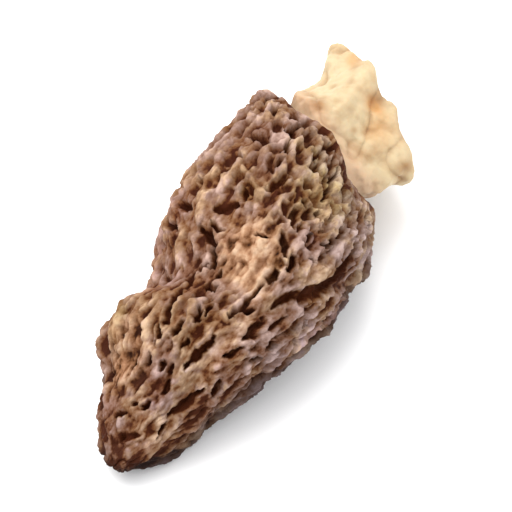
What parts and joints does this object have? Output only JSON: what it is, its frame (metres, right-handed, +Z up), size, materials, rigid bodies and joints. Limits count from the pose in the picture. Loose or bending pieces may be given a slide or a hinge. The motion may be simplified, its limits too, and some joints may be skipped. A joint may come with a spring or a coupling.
{
  "type": "morel mushroom",
  "caption": "Dried morel mushroom lying on its side: a hollow cap with a raised net of ridges round deep pits, and the torn, open stub of its stem.",
  "frame": {"origin": "on the surface that the morel lies on, under the middle of its bounding box", "axes": "+X from the cap's tip to the stem's torn end, +Z up from the surface; -Y is the flank with the long folds"},
  "size_m": [0.0602, 0.0226, 0.0198],
  "materials": {
    "cap": "matte",
    "stem": "matte"
  },
  "bodies": {
    "root": {"cap": "cap", "stem": "stem"}
  },
  "joints": []
}
